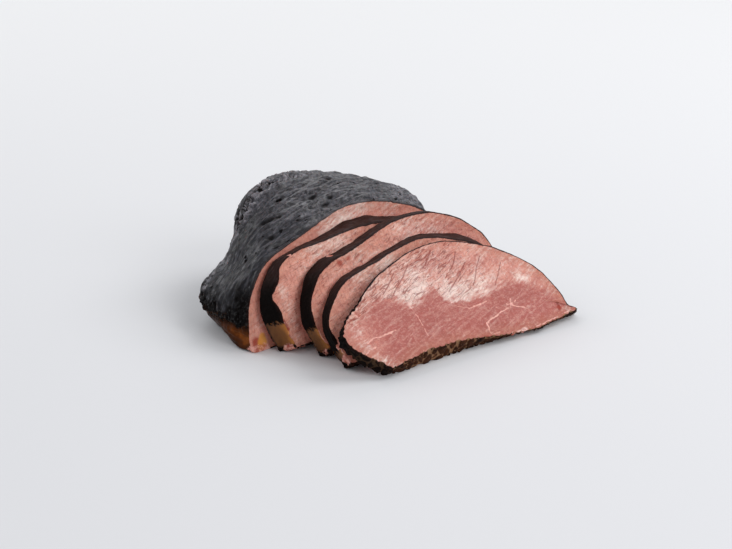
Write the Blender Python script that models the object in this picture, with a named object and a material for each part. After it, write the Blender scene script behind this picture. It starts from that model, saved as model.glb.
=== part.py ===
"""Smoked venison roast: the uncut piece, and four carved slices that lean against its cut.

The carver's frame is in millimetres: x runs along the cut from the near side of the roast to
its far side, y runs into the uncut piece, and z is up from the surface that the meat lies on.
Every shape is one idea, the roast's D-shaped cross-section: a flat underside, an upright near
side, a shoulder, a long slope up to the crest and a full round far side. A slice is a section
with a thickness, laid back by its lean. The uncut piece is a loft of sections, from the cut
back to the rounded end.
"""

import math
from collections import namedtuple

import bmesh
import bpy
import numpy as np

MM = 0.001

# The part's origin in the carver's frame: under the middle of the bounding box.
ORIGIN_X = 72.7
ORIGIN_Y = 13.1

# ---------------------------------------------------------------- the cross-section

# A section's sizes. Widths and heights are in millimetres; the rest are fractions of them.
#   left, right    the near and far sides        tuck      how far in the near foot stands
#   height         the crest over the underside  side      height of the near side's bulge
#   shoulder_in, shoulder_up   the near shoulder         brow   height of the slope's middle
#   crest          where the crest lies          far, full    heights of the far brow and side
#   tip            how far the far foot is drawn out as a flap, or in if it is negative
SECTION_SIZES = "left right height tuck side shoulder_in shoulder_up brow crest far full tip"
Section = namedtuple("Section", SECTION_SIZES)

BROW_AT = 0.33          # where the slope's middle lies, as a fraction of the width
FAR_BROW_AT = 0.80
FAR_SIDE_AT = 0.95
FAR_BULGE = 0.40        # the widest point's height, as a fraction of the far side's
FLAP_HEIGHT = 0.05      # the flap's upper edge, as a fraction of the height

OVER_POINTS = 44        # outline points from the near foot over the crest to the far foot
UNDER_POINTS = 14       # outline points along the underside

# ---------------------------------------------------------------- the slices

# A slice: its lean from upright in degrees, its thickness, how far the front face's underside
# waves, and the sections of its two faces.
Slice = namedtuple("Slice", "name lean thickness wave front back")

SLICES = (
    Slice("slice_1", 21.0, 8.4, 0.0,
          Section(6.5, 126.0, 49.0, 0.050, 0.50, 0.050, 0.790, 0.965, 0.50, 0.85, 0.60, -0.03),
          Section(2.5, 126.0, 53.0, 0.045, 0.34, 0.080, 0.745, 0.910, 0.51, 0.85, 0.60, -0.03)),
    Slice("slice_2", 28.5, 7.8, 0.0,
          Section(15.7, 138.0, 53.8, 0.050, 0.34, 0.085, 0.675, 0.865, 0.55, 0.92, 0.65, -0.03),
          Section(15.0, 138.5, 55.6, 0.035, 0.34, 0.085, 0.705, 0.875, 0.57, 0.93, 0.65, -0.03)),
    Slice("slice_3", 37.5, 7.0, 0.0,
          Section(14.5, 142.0, 49.4, 0.035, 0.36, 0.094, 0.700, 0.904, 0.58, 0.80, 0.50, -0.02),
          Section(16.0, 142.0, 52.6, 0.030, 0.36, 0.094, 0.706, 0.897, 0.64, 0.89, 0.55, -0.02)),
    Slice("slice_4", 45.0, 7.4, 3.0,
          Section(11.6, 144.0, 54.8, 0.14, 0.376, 0.130, 0.660, 0.900, 0.55, 0.81, 0.51, 0.04),
          Section(13.6, 143.5, 53.0, 0.12, 0.376, 0.130, 0.667, 0.905, 0.55, 0.81, 0.51, 0.07)),
)

GAP = 0.4               # clear space where a slice leans on the piece behind it
EDGE_ROUND = 0.6        # how far the cut edges are softened

# ---------------------------------------------------------------- the uncut piece

CUT_LEAN = 16.0         # the cut leans back from upright, in degrees
CUT_FOOT = 2.4          # y of the cut at the underside
REAR = 90.0             # y of the rounded end
REAR_POINT = (66.0, 22.0)   # x and z where the rounded end closes
REAR_TURN = 50.0        # how far the skin has turned towards the end at the last section
STATIONS = 20           # rows of the loft between the cut and the last section
REAR_ROWS = 4           # rows that close the rounded end

# Sections of the uncut piece by depth: the flank swells, then draws in behind the ridge that
# climbs from the near tip, and the top falls away to the rounded end.
UNCUT = (
    (CUT_FOOT,
     Section(-3.5, 122.0, 56.3, 0.00, 0.25, 0.09, 0.63, 0.86, 0.57, 0.92, 0.76, -0.06)),
    (15.0, Section(-7.0, 124.0, 59.0, 0.02, 0.20, 0.10, 0.59, 0.87, 0.57, 0.94, 0.80, -0.06)),
    (32.0, Section(-5.5, 123.0, 61.6, 0.06, 0.20, 0.12, 0.54, 0.89, 0.57, 0.94, 0.78, -0.06)),
    (50.0, Section(0.5, 116.0, 62.2, 0.07, 0.19, 0.14, 0.50, 0.91, 0.57, 0.92, 0.72, -0.06)),
    (62.0, Section(15.0, 109.0, 61.3, 0.06, 0.20, 0.13, 0.60, 0.95, 0.56, 0.90, 0.68, -0.06)),
    (72.0, Section(27.0, 101.0, 58.5, 0.05, 0.25, 0.09, 0.66, 0.96, 0.53, 0.87, 0.62, -0.06)),
    (80.0, Section(38.0, 92.0, 52.0, 0.08, 0.30, 0.08, 0.68, 0.96, 0.50, 0.87, 0.60, -0.06)),
    (85.0, Section(47.0, 83.0, 44.0, 0.12, 0.35, 0.08, 0.66, 0.95, 0.50, 0.88, 0.62, -0.06)),
)


def through(knots, values, where):
    """Smooth curve through values at knots (Catmull-Rom), read at the places in where."""
    knots = np.asarray(knots, float)
    values = np.asarray(values, float)
    slopes = np.gradient(values, knots, axis=0)
    span = np.clip(np.searchsorted(knots, where, side="right") - 1, 0, len(knots) - 2)
    width = (knots[span + 1] - knots[span])[:, None]
    t = (np.asarray(where) - knots[span])[:, None] / width
    return ((1 + 2 * t) * (1 - t) ** 2 * values[span]
            + t * (1 - t) ** 2 * width * slopes[span]
            + t ** 2 * (3 - 2 * t) * values[span + 1]
            + t ** 2 * (t - 1) * width * slopes[span + 1])


def evenly(points, count):
    """The same line with count points at even steps along it."""
    steps = np.linalg.norm(np.diff(points, axis=0), axis=1)
    run = np.concatenate([[0.0], np.cumsum(steps)])
    places = np.linspace(0.0, run[-1], count)
    return np.stack([np.interp(places, run, points[:, axis]) for axis in (0, 1)], axis=-1)


def outline(section, wave=0.0):
    """Closed outline of a section as (x, height) pairs, clockwise seen from the cut side.

    The underside is straight, or follows one sine wave of the given height.
    """
    s = section
    fractions = [
        (s.tuck, 0.0),
        (0.35 * s.tuck, 0.5 * s.side),
        (0.0, s.side),
        (s.shoulder_in, s.shoulder_up),
        (BROW_AT, s.brow),
        (s.crest, 1.0),
        (FAR_BROW_AT, s.far),
        (FAR_SIDE_AT, s.full),
        (1.0, FAR_BULGE * s.full),
        (1.0 + 0.2 * s.tip, FLAP_HEIGHT),
        (1.0 + s.tip, 0.0),
    ]
    landmarks = np.array(fractions) * (s.right - s.left, s.height) + (s.left, 0.0)
    chords = np.linalg.norm(np.diff(landmarks, axis=0), axis=1)
    knots = np.concatenate([[0.0], np.cumsum(chords)])
    fine = through(knots, landmarks, np.linspace(0.0, knots[-1], 12 * OVER_POINTS))
    over = evenly(fine, OVER_POINTS)
    under = np.linspace(over[-1], over[0], UNDER_POINTS + 2)[1:-1]
    under[:, 1] -= wave * np.sin(np.linspace(0.0, 2.0 * math.pi, UNDER_POINTS + 2)[1:-1])
    return np.vstack([over, under])


def shrunk(ring, distance):
    """The outline drawn in by about distance on every side, towards its middle."""
    middle = 0.5 * (ring.min(axis=0) + ring.max(axis=0))
    half = 0.5 * (ring.max(axis=0) - ring.min(axis=0))
    return middle + (ring - middle) * (1.0 - distance / half)


def laid_back(ring, rests, lean, forward):
    """Outline points in space: a plane that rests at y and leans back, moved forward."""
    angle = math.radians(lean)
    x, height = ring[:, 0], ring[:, 1]
    y = rests + height * math.sin(angle) - forward * math.cos(angle)
    z = height * math.cos(angle) + forward * math.sin(angle)
    return np.stack([x, y, z], axis=-1)


def resting_places():
    """Where each slice's lower back edge rests: it is pushed up until it leans.

    A slice lies back further than the face behind it, so it meets that face at the lower of
    their two crests. There its back face stands GAP in front of the other.
    """
    places = []
    foot, lean, crest = CUT_FOOT, math.radians(CUT_LEAN), UNCUT[0][1].height
    for cut in SLICES:
        angle = math.radians(cut.lean)
        meets = min(crest, cut.back.height * math.cos(angle))
        rests = foot - meets * (math.tan(angle) - math.tan(lean)) - GAP / math.cos(angle)
        places.append(rests)
        foot = rests - cut.thickness / math.cos(angle)
        crest = cut.front.height * math.cos(angle) + cut.thickness * math.sin(angle)
        lean = angle
    return places


def closed_mesh(name, rings, front_middle, rear_middle):
    """One closed body: a skin over rings of equal length, and a fan of faces at each end."""
    columns = len(rings[0])
    points = np.vstack([front_middle, *rings, rear_middle])
    points = (points - (ORIGIN_X, ORIGIN_Y, 0.0)) * MM
    last = len(points) - 1
    faces = []
    for column in range(columns):
        beside = (column + 1) % columns
        faces.append((0, 1 + column, 1 + beside))
        for row in range(len(rings) - 1):
            here = 1 + row * columns
            faces.append((here + column, here + columns + column,
                          here + columns + beside, here + beside))
        end = 1 + (len(rings) - 1) * columns
        faces.append((last, end + beside, end + column))
    mesh = bpy.data.meshes.new(name)
    mesh.from_pydata(points.tolist(), [], faces)
    return mesh


def meat_object(name, mesh, material):
    """A named object whose faces point out, smooth but for its cut edges."""
    body = bmesh.new()
    body.from_mesh(mesh)
    bmesh.ops.recalc_face_normals(body, faces=body.faces)
    body.to_mesh(mesh)
    body.free()
    mesh.shade_smooth()
    mesh.set_sharp_from_angle(angle=math.radians(35))
    mesh.materials.append(material)
    piece = bpy.data.objects.new(name, mesh)
    bpy.context.scene.collection.objects.link(piece)
    return piece


def principled(name, colour, roughness):
    """A plain Principled material."""
    material = bpy.data.materials.new(name)
    material.use_nodes = True
    shader = material.node_tree.nodes["Principled BSDF"]
    shader.inputs["Base Color"].default_value = (*colour, 1.0)
    shader.inputs["Roughness"].default_value = roughness
    shader.inputs["Metallic"].default_value = 0.0
    material.diffuse_color = (*colour, 1.0)
    return material


def make_slice(cut, rests, material):
    """A carved slice: the outlines of its front and back faces, with softened edges between."""
    front_ring, back_ring = outline(cut.front, cut.wave), outline(cut.back)
    rows = (
        (shrunk(front_ring, EDGE_ROUND), cut.thickness),
        (front_ring, cut.thickness - EDGE_ROUND),
        (0.5 * (front_ring + back_ring), 0.5 * cut.thickness),
        (back_ring, EDGE_ROUND),
        (shrunk(back_ring, EDGE_ROUND), 0.0),
    )
    rings = [laid_back(ring, rests, cut.lean, forward) for ring, forward in rows]
    lowest = min(ring[:, 2].min() for ring in rings)
    for ring in rings:
        ring[:, 2] -= lowest
    mesh = closed_mesh(cut.name, rings, rings[0].mean(axis=0), rings[-1].mean(axis=0))
    return meat_object(cut.name, mesh, material)


def uncut_section(depth):
    """The uncut piece's section at a depth, read from the lofting table."""
    depths = [row[0] for row in UNCUT]
    return Section(*through(depths, [row[1] for row in UNCUT], np.array([depth]))[0])


def make_uncut(material):
    """The uncut piece: a loft from the leaning cut to the rounded end."""
    first, last = UNCUT[0][0], UNCUT[-1][0]
    rings = []
    for depth in np.linspace(first, last, STATIONS):
        ring = outline(uncut_section(depth))
        left = (last - depth) / (last - first)
        slope = math.tan(math.radians(CUT_LEAN)) * left ** 2
        rings.append(np.stack([ring[:, 0], depth + slope * ring[:, 1], ring[:, 1]], axis=-1))
    rim = rings[-1]
    middle = np.array([REAR_POINT[0], last, REAR_POINT[1]])
    turned = math.radians(REAR_TURN)
    for angle in np.linspace(turned, 0.5 * math.pi, REAR_ROWS + 1)[1:-1]:
        ring = middle + (rim - middle) * math.cos(angle) / math.cos(turned)
        reach = (math.sin(angle) - math.sin(turned)) / (1.0 - math.sin(turned))
        ring[:, 1] = last + (REAR - last) * reach
        rings.append(ring)
    pole = np.array([REAR_POINT[0], REAR, REAR_POINT[1]])
    mesh = closed_mesh("roast_piece", rings, rings[0].mean(axis=0), pole)
    return meat_object("roast_piece", mesh, material)


def main():
    """Clear the scene and make the uncut piece and the slices."""
    for old in list(bpy.data.objects):
        bpy.data.objects.remove(old, do_unlink=True)
    rind = principled("smoked_rind", (0.058, 0.054, 0.062), 0.55)
    meat = principled("carved_venison", (0.50, 0.20, 0.165), 0.45)
    make_uncut(rind)
    for cut, rests in zip(SLICES, resting_places()):
        make_slice(cut, rests, meat)


main()
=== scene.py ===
"""Smoked venison roast: the looks of the uncut piece and of the four carved slices.

The carver's frame is in millimetres: x runs along the cut from the near side of the roast to
its far side, y runs into the uncut piece, and z is up from the surface that the meat lies on.
Each piece is one closed skin, a grid of rows and columns worked out as whole arrays: a column
goes round the roast's D-shaped cross-section, and a row is one such outline. The grid starts
at the middle of the cut face, widens to the cut edge, and goes on over the rind.
"""

import itertools
import math
from collections import namedtuple

import bpy
import numpy as np
from bpy.props import FloatProperty, FloatVectorProperty, PointerProperty
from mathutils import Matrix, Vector


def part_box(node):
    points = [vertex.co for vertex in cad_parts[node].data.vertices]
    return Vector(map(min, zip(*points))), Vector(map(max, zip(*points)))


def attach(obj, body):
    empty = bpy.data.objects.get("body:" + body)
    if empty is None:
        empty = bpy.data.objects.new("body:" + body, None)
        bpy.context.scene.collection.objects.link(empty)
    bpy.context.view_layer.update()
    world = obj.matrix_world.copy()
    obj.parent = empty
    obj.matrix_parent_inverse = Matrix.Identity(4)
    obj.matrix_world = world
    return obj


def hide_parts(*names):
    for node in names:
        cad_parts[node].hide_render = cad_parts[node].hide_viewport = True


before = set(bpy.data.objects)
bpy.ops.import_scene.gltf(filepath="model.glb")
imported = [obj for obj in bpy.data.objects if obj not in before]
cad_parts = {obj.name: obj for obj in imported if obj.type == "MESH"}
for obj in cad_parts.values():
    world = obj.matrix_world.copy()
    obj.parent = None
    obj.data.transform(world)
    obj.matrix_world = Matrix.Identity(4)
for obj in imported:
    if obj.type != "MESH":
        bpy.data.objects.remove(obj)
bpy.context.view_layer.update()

bl_info = {
    "name": "Smoked venison roast",
    "version": (1, 0, 0),
    "blender": (4, 5, 0),
    "location": "3D View > Sidebar > Roast",
    "description": "An uncut piece of smoked venison with four carved slices leaning on it",
    "category": "Add Mesh",
}

MM = 0.001

# The object's origin in the carver's frame.
ORIGIN = (72.7, 13.1, 0.0)

# ---------------------------------------------------------------- the cross-section

# A section's near side, far side and height, in millimetres; then, as shares of its width or
# its height: how far the near foot tucks under, how high the near side is furthest out, how
# far in and how high the near shoulder lies, the brow's height, where the crest is, the height
# of the far brow and of the far side, and how far the far foot's flap stands out.
Section = namedtuple(
    "Section", "left right height tuck side shoulder_in shoulder_up brow crest far full tip")

# Where other landmarks lie, as shares of the width; the height of the far bulge, as a share of
# the far side's; and the flap's, as a share of the section's.
BROW_AT = 0.33
FAR_BROW_AT = 0.80
FAR_SIDE_AT = 0.95
FAR_BULGE = 0.40
FLAP_HEIGHT = 0.05

# A carved slice: the degrees that it leans back and, in millimetres, its thickness, how far
# its lower front edge waves up and down, and the sections that are its front and back faces.
Slice = namedtuple("Slice", "name lean thickness wave front back")
SLICES = (
    Slice("slice_1", 21.0, 8.4, 0.0,
          Section(6.5, 126.0, 49.0, 0.05, 0.50, 0.05, 0.79, 0.965, 0.50, 0.85, 0.60, -0.03),
          Section(2.5, 126.0, 53.0, 0.045, 0.34, 0.08, 0.745, 0.91, 0.51, 0.85, 0.60, -0.03)),
    Slice("slice_2", 28.5, 7.8, 0.0,
          Section(15.7, 138.0, 53.8, 0.050, 0.34, 0.085, 0.675, 0.865, 0.55, 0.92, 0.65, -0.03),
          Section(15.0, 138.5, 55.6, 0.035, 0.34, 0.085, 0.705, 0.875, 0.57, 0.93, 0.65, -0.03)),
    Slice("slice_3", 37.5, 7.0, 0.0,
          Section(14.5, 142.0, 49.4, 0.035, 0.36, 0.094, 0.700, 0.904, 0.58, 0.80, 0.50, -0.02),
          Section(16.0, 142.0, 52.6, 0.030, 0.36, 0.094, 0.706, 0.897, 0.64, 0.89, 0.55, -0.02)),
    Slice("slice_4", 45.0, 7.4, 3.0,
          Section(11.6, 144.0, 54.8, 0.14, 0.376, 0.130, 0.660, 0.900, 0.55, 0.81, 0.51, 0.04),
          Section(13.6, 143.5, 53.0, 0.12, 0.376, 0.130, 0.667, 0.905, 0.55, 0.81, 0.51, 0.07)),
)

# Millimetres left clear between a slice and what it leans on, and the rounding of cut edges.
GAP = 0.4
EDGE_ROUND = 0.6

# The uncut piece: the degrees that its cut leans back, the depths of the cut's foot and of the
# rear end, the point (x, height) on which the rear closes, and the degrees that its rounding
# has turned where it begins. Then sections, each after the depth at which it lies.
CUT_LEAN = 16.0
CUT_FOOT = 2.4
REAR = 90.0
REAR_POINT = (66.0, 22.0)
REAR_TURN = 50.0
UNCUT = (
    (CUT_FOOT,
     Section(-3.5, 122.0, 56.3, 0.00, 0.25, 0.09, 0.63, 0.86, 0.57, 0.92, 0.76, -0.06)),
    (15.0, Section(-7.0, 124.0, 59.0, 0.02, 0.20, 0.10, 0.59, 0.87, 0.57, 0.94, 0.80, -0.06)),
    (32.0, Section(-5.5, 123.0, 61.6, 0.06, 0.20, 0.12, 0.54, 0.89, 0.57, 0.94, 0.78, -0.06)),
    (50.0, Section(0.5, 116.0, 62.2, 0.07, 0.19, 0.14, 0.50, 0.91, 0.57, 0.92, 0.72, -0.06)),
    (62.0, Section(15.0, 109.0, 61.3, 0.06, 0.20, 0.13, 0.60, 0.95, 0.56, 0.90, 0.68, -0.06)),
    (72.0, Section(27.0, 101.0, 58.5, 0.05, 0.25, 0.09, 0.66, 0.96, 0.53, 0.87, 0.62, -0.06)),
    (80.0, Section(38.0, 92.0, 52.0, 0.08, 0.30, 0.08, 0.68, 0.96, 0.50, 0.87, 0.60, -0.06)),
    (85.0, Section(47.0, 83.0, 44.0, 0.12, 0.35, 0.08, 0.66, 0.95, 0.50, 0.88, 0.62, -0.06)),
)

# ---------------------------------------------------------------- grids

# Points round each outline, and rows over each part of the two kinds of skin.
SLICE_COLUMNS = 640
UNCUT_COLUMNS = 470
OVER_SHARE = 0.76           # of an outline's points, those over the roast; the rest lie under
FACE_ROWS = 88
WALL_ROWS = 14
BACK_ROWS = 30
CUT_ROWS = 46
SKIN_ROWS = 112
REAR_ROWS = 30
CORNER_TURNS = (0.0, 22.5, 45.0, 67.5)   # degrees turned round a softened edge, per row
CORNER_REACH = 3            # points on each side that soften the outline's corners
WAVE_SPREAD = (0.55, 1.5)   # of a wave's typical closeness, the least and the most
NOWHERE = 99.0              # a distance past any that shows
BOX_ALLOWANCE = 3.0         # millimetres that a piece may stand off its CAD box

# ---------------------------------------------------------------- what each piece shows

# A spot: where its middle is (x, height and forward on a slice; x, y and z on the uncut
# piece), its radius and its strength. A line: its points as (x, height), and its width.

# Seams of fat in the cut faces.
FAT_LINES = {
    "roast_piece": (),
    "slice_1": ((((8.9, 13.6), (8.7, 10.5), (8.8, 7.0), (9.4, 3.0)), 0.6),),
    "slice_2": ((((17.6, 12.0), (18.4, 9.0), (19.0, 5.0)), 0.5),),
    "slice_3": ((((17.5, 12.0), (17.0, 8.0), (17.6, 4.0)), 0.5),),
    "slice_4": (
        (((91.7, 1.2), (92.0, 4.2), (92.9, 7.6), (96.2, 8.9), (99.9, 9.5), (103.9, 10.7),
          (107.7, 11.4), (110.5, 12.0), (112.0, 13.4), (112.6, 15.9)), 0.50),
        (((107.7, 11.4), (111.5, 12.6), (114.5, 10.9), (118.2, 9.2)), 0.40),
        (((109.2, 13.6), (111.6, 12.8), (115.2, 14.2)), 0.34),
        (((91.7, 1.6), (96.5, 1.2)), 0.50),
        (((80.5, 20.4), (83.4, 18.9), (86.9, 17.0), (91.7, 17.4), (95.0, 17.6), (98.6, 18.0)),
         0.40),
        (((55.0, 27.4), (55.7, 24.0), (56.3, 19.9), (56.7, 15.0), (56.9, 10.6)), 0.36),
        (((23.4, 15.9), (27.5, 17.3), (31.0, 16.6), (35.0, 17.2), (41.0, 17.6)), 0.50),
        (((19.6, 11.0), (24.0, 12.6), (27.6, 12.8)), 0.45),
        (((104.0, -1.5), (109.6, -1.6), (114.0, -1.7)), 0.42),
        (((119.0, -1.4), (122.8, -1.3), (129.1, -1.0), (134.3, -0.4)), 0.30),
        (((138.0, 0.2), (140.8, 0.6), (143.5, 0.4)), 0.30),
    ),
}

# Pale and moist places on the cut faces, painted whiter as pale fat, dried fibres and painted
# sheen: x, height, radius and strength.
SHEEN_SPOTS = {
    "roast_piece": ((3.0, 12.0, 4.0, 0.45), (52.0, 46.0, 9.0, 0.7), (64.0, 51.0, 8.0, 0.75),
                    (75.0, 54.0, 6.0, 0.7), (92.0, 50.0, 9.0, 0.5)),
    "slice_1": ((36.0, 44.0, 7.0, 0.6), (50.0, 46.0, 8.0, 0.6), (12.2, 28.5, 3.4, 0.60),
                (13.0, 20.5, 4.0, 0.50), (26.0, 37.0, 5.0, 0.50), (14.4, 13.5, 3.5, 0.40),
                (14.5, 6.0, 3.5, 0.35)),
    "slice_2": ((86.0, 48.0, 12.0, 0.45), (104.0, 42.0, 8.0, 0.4), (52.0, 44.0, 7.0, 0.35)),
    "slice_3": ((60.0, 43.0, 9.0, 0.5), (42.0, 38.0, 8.0, 0.3)),
    "slice_4": ((124.5, 25.0, 3.0, 0.6), (128.0, 23.0, 2.0, 0.5), (22.0, 14.0, 4.0, 0.50),
                (21.0, 22.0, 4.0, 0.50), (26.0, 6.0, 4.0, 0.45), (32.0, 2.0, 4.0, 0.40),
                (111.3, -2.3, 1.6, 3.0), (107.0, -1.8, 1.1, 1.2), (143.0, 1.2, 2.8, 0.5)),
}

# How far the rind reaches onto the cut face there, or draws back from it, in millimetres.
RIND_REACH = {
    "roast_piece": ((-3.0, 2.4, 5.0, 5.0, -2.0),),
    "slice_1": ((11.0, 33.5, 8.4, 3.6, 1.7), (6.5, 26.5, 8.4, 2.4, -1.0),
                (8.2, 18.5, 8.4, 3.0, 1.3), (9.0, 7.0, 8.4, 3.2, -1.0)),
    "slice_2": ((18.0, 19.0, 7.8, 4.0, 0.7), (18.0, 8.0, 7.8, 3.6, -0.8)),
    "slice_3": ((16.0, 15.0, 7.0, 3.5, 0.9), (17.0, 6.0, 7.0, 3.0, -1.0)),
    "slice_4": ((22.0, 24.0, 7.4, 4.0, -0.4), (140.0, 3.0, 7.4, 3.0, -0.6)),
}

# Bare amber membrane, where the smoke has left no crust: on a slice's near rim, from one
# height to another; on the uncut piece, spots along its near foot.
WINDOWS = {"slice_1": (2.2, 13.6), "slice_2": (2.6, 13.2), "slice_3": (5.0, 8.5),
           "slice_4": (2.0, 5.0)}
UNCUT_MEMBRANE = ((-4.5, 8.0, 5.5, 8.5, 1.2), (-6.0, 20.0, 5.5, 8.0, 1.2),
                  (-5.0, 31.0, 5.0, 7.0, 1.1), (-3.0, 40.0, 5.0, 6.0, 0.8))

# Where the uncut piece's membrane is so thin that it glows.
UNCUT_GLOW = ((-5.2, 10.5, 8.4, 3.8, 0.95), (-6.3, 16.0, 9.0, 3.0, 0.8),
              (-3.6, 5.2, 7.0, 3.2, 0.8), (-6.7, 22.5, 9.0, 2.8, 0.55),
              (-4.5, 8.0, 4.0, 2.8, 0.5))

# Golden, glassy fat on the cut faces and the foot.
GOLDEN = {
    "roast_piece": ((3.2, 3.8, 4.0, 2.6, 1.4), (3.8, 4.4, 7.2, 1.6, 1.0),
                    (1.2, 3.2, 1.8, 1.6, 0.7)),
    "slice_1": ((9.6, 8.5, 8.2, 1.6, 0.8), (9.8, 5.0, 8.2, 1.4, 0.7)),
    "slice_2": ((17.6, 9.0, 7.6, 1.4, 0.6),),
    "slice_3": ((17.4, 6.5, 7.0, 1.2, 0.6),),
    "slice_4": ((27.0, 30.0, 7.4, 1.2, 0.5),),
}

# Each cut face's share of meat_tawny, from rosy at 0; and, on the last slice, the line
# (x, height) over which the paler muscle begins.
TAWNY = {"roast_piece": 0.62, "slice_1": 1.0, "slice_2": 1.0, "slice_3": 1.0, "slice_4": 0.0}
PALE_MUSCLE = ((20.0, 28.6, 41.3, 47.6, 54.6, 55.9, 64.1, 73.0, 74.2, 76.0, 83.3, 86.9,
                96.4, 106.9, 115.5, 123.9, 131.0, 142.0),
               (25.0, 29.8, 33.4, 32.4, 27.7, 26.2, 29.8, 31.9, 28.6, 25.3, 23.3, 21.3,
                21.9, 22.9, 22.3, 21.6, 17.0, 8.0))
PALE_MUSCLE_TAWNY = 0.68

# How strongly a painted sheen lies on that muscle just over the line, from place to place
# (x, strength), and over how many millimetres it dies away above it.
SHINE = ((28.0, 34.0, 50.0, 58.0, 65.0, 73.0, 82.0, 88.0, 95.0, 101.0, 107.0, 113.0, 120.0),
         (0.0, 0.2, 0.5, 0.9, 1.20, 0.5, 1.55, 1.2, 0.8, 1.2, 0.6, 0.15, 0.0))
SHINE_FADE = 8.0

# Dark creases in the meat, as points and a width.
CREASES = {
    "slice_1": ((((9.3, 14.5), (10.2, 12.5), (9.9, 8.0), (10.4, 4.7), (10.6, 1.4)), 0.95),),
    "slice_2": (),
    "slice_3": (),
    "slice_4": (
        (((82.0, 50.8), (78.0, 47.0), (74.8, 44.2)), 0.5),
        (((95.4, 46.4), (91.0, 41.0), (87.1, 38.2)), 0.5),
        (((108.7, 41.3), (103.0, 36.0), (98.0, 30.0), (95.5, 27.6)), 0.36),
        (((118.0, 34.9), (113.0, 29.0), (107.9, 24.3)), 0.38),
        (((98.0, 40.0), (90.0, 34.0), (81.2, 28.5)), 0.45),
        (((66.0, 47.0), (60.0, 42.0), (52.0, 36.5), (47.0, 32.5)), 0.4),
        (((56.0, 45.0), (50.0, 40.0), (44.0, 36.0)), 0.35),
        (((139.2, 6.4), (138.8, 4.6), (138.1, 3.0)), 0.9),
    ),
}

# Torn places, where pale or bloody meat and fat show through.
TORN = {
    "roast_piece": ((-2.5, 4.0, 0.4, 3.4, 1.1), (3.5, 3.2, 0.0, 4.0, 1.0),
                    (-2.0, 3.0, 9.5, 1.2, 0.7)),
    "slice_1": ((11.0, 0.6, 5.0, 3.2, 1.0), (17.0, 0.0, 5.0, 4.0, 0.9),
                (21.0, 43.6, 7.6, 1.1, 1.1)),
    "slice_2": ((19.5, 1.0, 5.0, 3.0, 0.7), (40.5, 44.8, 2.4, 1.7, 1.4)),
    "slice_3": ((18.0, 3.2, 5.4, 3.0, 0.9), (16.2, 10.0, 6.6, 1.8, 0.9)),
    "slice_4": ((111.3, -2.6, 6.4, 2.2, 1.6), (104.0, -1.8, 6.6, 1.4, 0.9),
                (26.0, 30.8, 7.0, 2.4, 1.0), (20.0, 24.0, 7.0, 2.0, 0.6)),
}

# Places that are bloodier or browner than the meat round them.
BLOOD = {
    "roast_piece": ((0.0, 3.0, 4.6, 3.0, 1.3), (1.3, 9.0, 24.4, 4.0, 0.36)),
    "slice_1": ((10.6, 10.0, 8.4, 1.2, 0.8),),
    "slice_2": ((41.0, 40.0, 7.8, 2.4, 0.7), (47.0, 41.0, 7.8, 2.0, 0.6),
                (20.0, 29.0, 7.8, 2.0, 0.35)),
    "slice_3": ((15.0, 12.5, 6.4, 1.6, 1.0), (18.0, 4.5, 6.0, 1.6, 0.9)),
    "slice_4": ((138.7, 3.9, 7.4, 1.3, 1.3), (88.5, -0.6, 5.5, 3.4, 1.0)),
}

# Dents in the rind: x, y, z, radius and depth. Each is DENT_STRETCH times longer round the
# roast than along it, and a little wider than its radius.
DENTS = (
    (31.0, 33.8, 51.0, 2.1, 1.4), (34.8, 32.2, 52.7, 1.5, 1.0), (24.0, 24.2, 46.4, 1.8, 1.1),
    (28.0, 35.3, 49.6, 1.5, 1.0), (22.0, 17.4, 44.1, 1.4, 0.8),
    (55.7, 32.9, 59.1, 2.0, 1.2), (51.0, 34.0, 58.5, 1.3, 0.8), (63.0, 27.8, 58.8, 1.6, 1.0),
    (57.5, 24.7, 57.1, 2.1, 1.1), (72.5, 41.7, 61.9, 2.0, 0.9), (53.9, 52.9, 61.3, 1.5, 0.7),
    (41.8, 42.3, 57.4, 1.6, 0.9), (38.1, 64.8, 50.9, 2.2, 1.0), (28.0, 40.0, 46.0, 1.3, 0.7),
    (21.0, 36.0, 40.0, 1.2, 0.6), (84.0, 60.0, 58.0, 1.8, 0.8), (98.0, 44.0, 56.0, 1.7, 0.8),
    (108.0, 62.0, 40.0, 2.0, 0.9), (76.0, 74.0, 50.0, 1.8, 0.8), (14.0, 28.0, 33.0, 1.4, 0.6),
)
GIRTH_SHARE = 0.26          # of a wrinkle's length round the roast, its length along it
DENT_STRETCH = 1.7
DENT_SPREAD = 1.15

# On the uncut piece, the depth and half width of the ridge that climbs from the near tip, and
# of the groove behind it; how much deeper than the ridge its painted highlight lies; and the
# frayed tip.
RIDGE = (49.5, 2.6)
GROOVE = (55.5, 3.0)
HIGHLIGHT_LAG = 0.3
NEAR_TIP = ((-2.0, 45.0, 11.0, 7.0, 1.0),)

# Millimetres across the blocks of dried crust, and across the pebbles beyond the ridge; and
# over how many millimetres of the cut face the rind's unevenness dies away.
BLOCK_SIZE = 4.4
PEBBLE_SIZE = 3.0
RIND_FADE = 1.6

# Millimetres by which one slice's blocks and its grain are shifted from the last one's, so
# that no two slices are alike.
APART = 31.0
GRAIN_APART = 37.0


# ---------------------------------------------------------------- shapes as arrays

def through(knots, values, where):
    """Smooth curve through values at knots (Catmull-Rom), read at the places in where."""
    knots = np.asarray(knots, float)
    values = np.asarray(values, float)
    slopes = np.gradient(values, knots, axis=0)
    span = np.clip(np.searchsorted(knots, where, side="right") - 1, 0, len(knots) - 2)
    width = (knots[span + 1] - knots[span])[:, None]
    t = (np.asarray(where) - knots[span])[:, None] / width
    return ((1 + 2 * t) * (1 - t) ** 2 * values[span]
            + t * (1 - t) ** 2 * width * slopes[span]
            + t ** 2 * (3 - 2 * t) * values[span + 1]
            + t ** 2 * (t - 1) * width * slopes[span + 1])


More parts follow.
